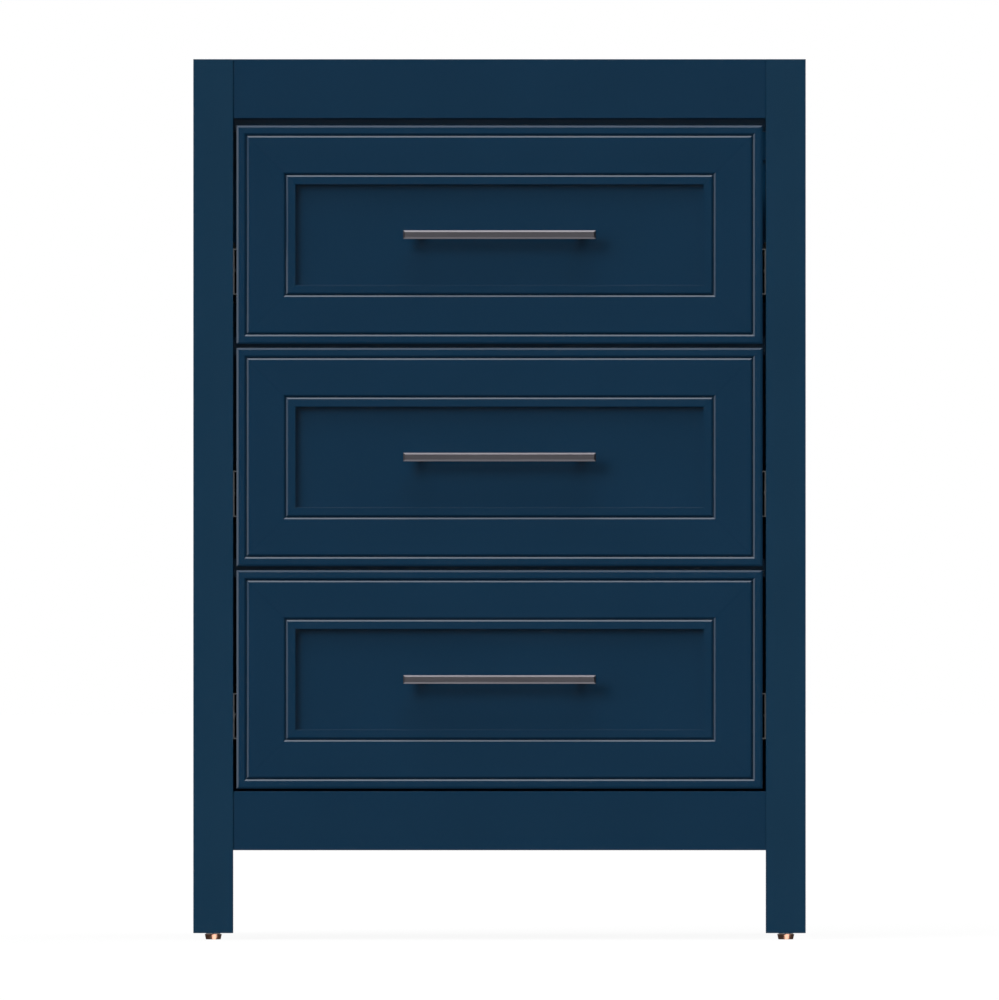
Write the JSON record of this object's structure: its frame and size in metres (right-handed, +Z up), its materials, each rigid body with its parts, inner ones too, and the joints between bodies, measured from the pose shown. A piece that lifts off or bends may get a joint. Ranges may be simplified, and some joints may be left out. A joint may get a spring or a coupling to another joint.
{
  "type": "bathroom vanity cabinet",
  "caption": "Free-standing bathroom vanity base on square legs with stacked framed drawers, bar pulls and screw-adjusted levelling feet; open top for a basin and worktop.",
  "frame": {"origin": "on the floor, under the middle of the whole object, pulls included", "axes": "+Z up, +X to the right of someone facing the drawers, drawers open towards -Y"},
  "size_m": [0.6096, 0.5514, 0.8763],
  "materials": {
    "leg_paint": "solid wood, sprayed satin navy lacquer",
    "case_paint": "solid wood and panel, sprayed satin navy lacquer",
    "front_paint": "mitred solid wood frame and flat panel, sprayed satin navy lacquer",
    "drawer_wood": "solid birch, clear satin lacquer",
    "plywood": "birch plywood, clear satin lacquer",
    "pull_metal": "cast zinc, brushed graphite plating",
    "slide_steel": "rolled steel, bright zinc plating",
    "screw_steel": "hardened steel, zinc plating",
    "foot_copper": "turned steel, polished copper plating"
  },
  "bodies": {
    "cabinet": {"leg_front_left": "leg_paint", "leg_front_right": "leg_paint", "leg_back_left": "leg_paint", "leg_back_right": "leg_paint", "front_top_rail": "case_paint", "front_bottom_rail": "case_paint", "side_rails": "case_paint", "side_panels": "case_paint", "back_panel": "case_paint", "back_rails": "case_paint", "cabinet_floor": "case_paint", "drawer_dividers": "case_paint", "corner_blocks": "drawer_wood", "slide_cleats": "case_paint", "slide_outers": "slide_steel", "slide_screws": "screw_steel", "tee_nuts": "slide_steel"},
    "bottom_drawer": {"bottom_front_rails": "front_paint", "bottom_front_stiles": "front_paint", "bottom_front_panel": "front_paint", "bottom_handle": "pull_metal", "bottom_box_sides": "drawer_wood", "bottom_box_ends": "drawer_wood", "bottom_box_bottom": "plywood", "bottom_slide_inners": "slide_steel", "bottom_fixings": "screw_steel"},
    "bottom_slide_stage": {"bottom_slide_middles": "slide_steel", "bottom_ball_cages": "screw_steel"},
    "middle_drawer": {"middle_front_rails": "front_paint", "middle_front_stiles": "front_paint", "middle_front_panel": "front_paint", "middle_handle": "pull_metal", "middle_box_sides": "drawer_wood", "middle_box_ends": "drawer_wood", "middle_box_bottom": "plywood", "middle_slide_inners": "slide_steel", "middle_fixings": "screw_steel"},
    "middle_slide_stage": {"middle_slide_middles": "slide_steel", "middle_ball_cages": "screw_steel"},
    "top_drawer": {"top_front_rails": "front_paint", "top_front_stiles": "front_paint", "top_front_panel": "front_paint", "top_handle": "pull_metal", "top_box_sides": "drawer_wood", "top_box_ends": "drawer_wood", "top_notch_sides": "drawer_wood", "top_notch_front": "drawer_wood", "top_box_bottom": "plywood", "top_slide_inners": "slide_steel", "top_fixings": "screw_steel"},
    "top_slide_stage": {"top_slide_middles": "slide_steel", "top_ball_cages": "screw_steel"},
    "pad_front_left": {"foot_pad_front_left": "foot_copper"},
    "stem_front_left": {"foot_stem_front_left": "slide_steel"},
    "pad_front_right": {"foot_pad_front_right": "foot_copper"},
    "stem_front_right": {"foot_stem_front_right": "slide_steel"},
    "pad_back_left": {"foot_pad_back_left": "foot_copper"},
    "stem_back_left": {"foot_stem_back_left": "slide_steel"},
    "pad_back_right": {"foot_pad_back_right": "foot_copper"},
    "stem_back_right": {"foot_stem_back_right": "slide_steel"}
  },
  "joints": [
    {"name": "bottom_drawer_slide", "type": "slide", "parent": "cabinet", "child": "bottom_drawer", "axis": [0, -1, 0], "range_m": [0, 0.45]},
    {"name": "bottom_slide_extension", "type": "slide", "parent": "cabinet", "child": "bottom_slide_stage", "axis": [0, -1, 0], "range_m": [0, 0.225]},
    {"name": "middle_drawer_slide", "type": "slide", "parent": "cabinet", "child": "middle_drawer", "axis": [0, -1, 0], "range_m": [0, 0.45]},
    {"name": "middle_slide_extension", "type": "slide", "parent": "cabinet", "child": "middle_slide_stage", "axis": [0, -1, 0], "range_m": [0, 0.225]},
    {"name": "top_drawer_slide", "type": "slide", "parent": "cabinet", "child": "top_drawer", "axis": [0, -1, 0], "range_m": [0, 0.45]},
    {"name": "top_slide_extension", "type": "slide", "parent": "cabinet", "child": "top_slide_stage", "axis": [0, -1, 0], "range_m": [0, 0.225]},
    {"name": "foot_front_left_lift", "type": "slide", "parent": "cabinet", "child": "pad_front_left", "axis": [0, 0, -1], "range_m": [-0.0008, 0.01]},
    {"name": "foot_front_left_turn", "type": "hinge", "parent": "pad_front_left", "child": "stem_front_left", "pos_m": [-0.28505, -0.23795, 0], "axis": [0, 0, -1], "range_deg": [-228, 2840]},
    {"name": "foot_front_right_lift", "type": "slide", "parent": "cabinet", "child": "pad_front_right", "axis": [0, 0, -1], "range_m": [-0.0008, 0.01]},
    {"name": "foot_front_right_turn", "type": "hinge", "parent": "pad_front_right", "child": "stem_front_right", "pos_m": [0.28505, -0.23795, 0], "axis": [0, 0, -1], "range_deg": [-228, 2840]},
    {"name": "foot_back_left_lift", "type": "slide", "parent": "cabinet", "child": "pad_back_left", "axis": [0, 0, -1], "range_m": [-0.0008, 0.01]},
    {"name": "foot_back_left_turn", "type": "hinge", "parent": "pad_back_left", "child": "stem_back_left", "pos_m": [-0.2888, 0.2597, 0], "axis": [0, 0, -1], "range_deg": [-228, 2840]},
    {"name": "foot_back_right_lift", "type": "slide", "parent": "cabinet", "child": "pad_back_right", "axis": [0, 0, -1], "range_m": [-0.0008, 0.01]},
    {"name": "foot_back_right_turn", "type": "hinge", "parent": "pad_back_right", "child": "stem_back_right", "pos_m": [0.2888, 0.2597, 0], "axis": [0, 0, -1], "range_deg": [-228, 2840]}
  ],
  "couplings": [
    {"joint": "bottom_slide_extension", "follows": "bottom_drawer_slide", "ratio": 0.5},
    {"joint": "middle_slide_extension", "follows": "middle_drawer_slide", "ratio": 0.5},
    {"joint": "top_slide_extension", "follows": "top_drawer_slide", "ratio": 0.5},
    {"joint": "foot_front_left_turn", "follows": "foot_front_left_lift", "rad_per_m": 4947.4},
    {"joint": "foot_front_right_turn", "follows": "foot_front_right_lift", "rad_per_m": 4947.4},
    {"joint": "foot_back_left_turn", "follows": "foot_back_left_lift", "rad_per_m": 4947.4},
    {"joint": "foot_back_right_turn", "follows": "foot_back_right_lift", "rad_per_m": 4947.4}
  ]
}
